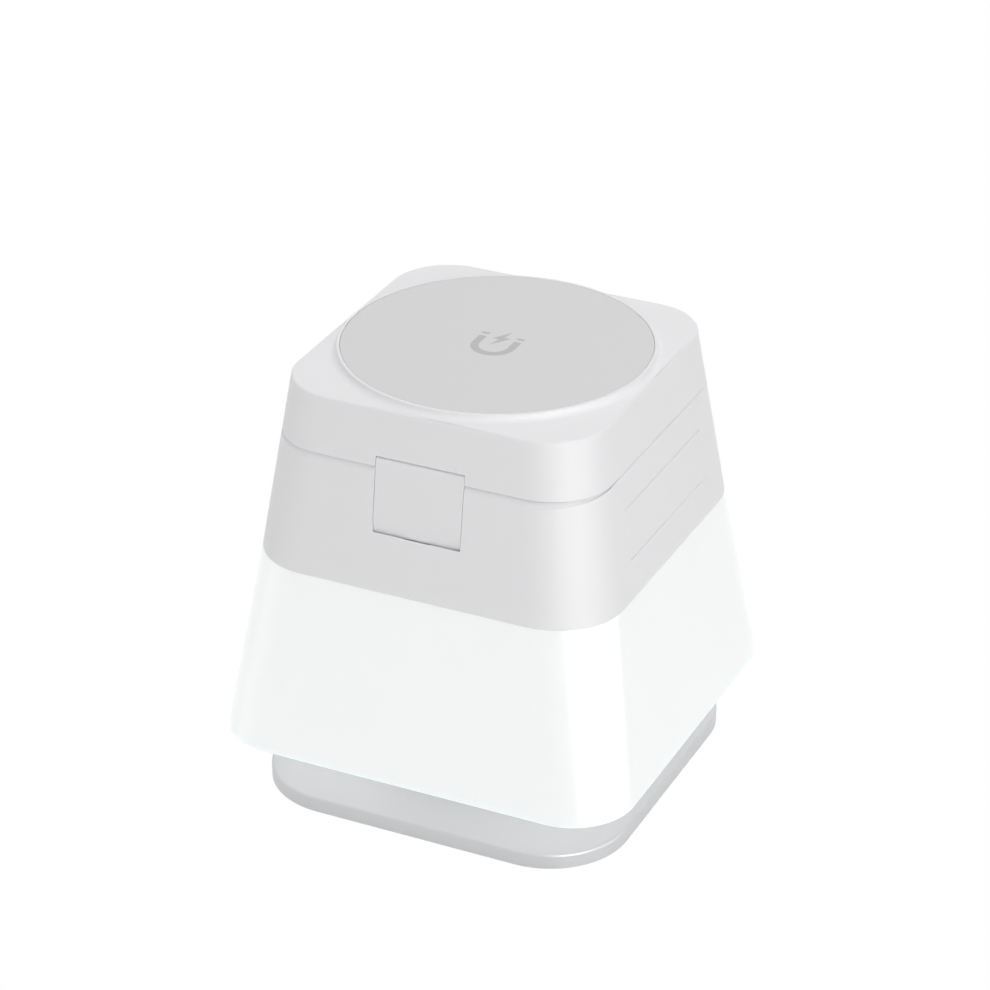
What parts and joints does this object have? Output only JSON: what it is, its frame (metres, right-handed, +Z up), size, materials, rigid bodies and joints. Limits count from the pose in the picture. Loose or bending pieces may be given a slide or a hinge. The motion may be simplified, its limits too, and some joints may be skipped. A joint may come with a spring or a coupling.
{
  "type": "wireless charging station",
  "caption": "Square tapered charging station: magnetic phone pad in a folding lid, opal lamp shade, watch drawer, thin foot plate.",
  "frame": {"origin": "on the vertical axis, at the surface that the foot pad stands on", "axes": "+Z up, -Y towards the front with the hinge tab, +X towards the right face with the watch drawer"},
  "size_m": [0.083, 0.083, 0.0874],
  "materials": {
    "white_abs": "fine satin",
    "opal_shade": "smooth opal",
    "base_abs": "fine satin",
    "inner_abs": "matt",
    "pad_grey": "soft matt",
    "mark_grey": "matt",
    "foot_rubber": "matt",
    "steel": "plain",
    "board_green": "solder mask",
    "board_white": "solder mask",
    "black_plastic": "matt",
    "lamp_yellow": "clear",
    "copper_wire": "enamelled",
    "ferrite": "matt",
    "magnet": "plated"
  },
  "bodies": {
    "stand": {"body_shell": "white_abs", "shade": "opal_shade", "base_plate": "base_abs", "neck": "base_abs", "shade_floor": "base_abs", "top_deck": "inner_abs", "drawer_guide": "inner_abs", "earbud_pad": "pad_grey", "foot_pad": "foot_rubber", "ballast_plate": "steel", "base_screws": "steel", "neck_screws": "steel", "led_screws": "steel", "body_screws": "steel", "board_screws": "steel", "guide_screws": "steel", "deck_screws": "steel", "lower_pin": "steel", "usb_socket": "steel", "main_board": "board_green", "led_board": "board_white", "board_parts": "black_plastic", "usb_tongue": "black_plastic", "tact_switch": "black_plastic", "led_connector": "black_plastic", "leds": "lamp_yellow", "earbud_coil": "copper_wire", "earbud_ferrite": "ferrite"},
    "link": {"hinge_link": "white_abs"},
    "lid": {"lid_shell": "white_abs", "lid_floor": "inner_abs", "lid_screws": "steel", "lid_board": "board_green", "phone_coil": "copper_wire", "ferrite_disc": "ferrite", "magnet_ring": "magnet", "magnet_yoke": "steel", "charge_disc": "pad_grey", "disc_mark": "mark_grey", "upper_pin": "steel"},
    "drawer": {"drawer_tray": "white_abs", "watch_puck": "inner_abs", "watch_coil": "copper_wire", "watch_magnet": "magnet"},
    "button": {"light_button": "white_abs"}
  },
  "joints": [
    {"name": "link_swing", "type": "hinge", "parent": "stand", "child": "link", "pos_m": [0, -0.03168, 0.065], "axis": [1, 0, 0], "range_deg": [0, 50]},
    {"name": "lid_tilt", "type": "hinge", "parent": "link", "child": "lid", "pos_m": [0, -0.03128, 0.0758], "axis": [1, 0, 0], "range_deg": [0, 80]},
    {"name": "drawer_slide", "type": "slide", "parent": "stand", "child": "drawer", "axis": [1, 0, 0], "range_m": [0, 0.036]},
    {"name": "button_press", "type": "slide", "parent": "stand", "child": "button", "axis": [0, -1, 0], "range_m": [0, 0.0004], "stiffness_N_per_m": 2000}
  ]
}
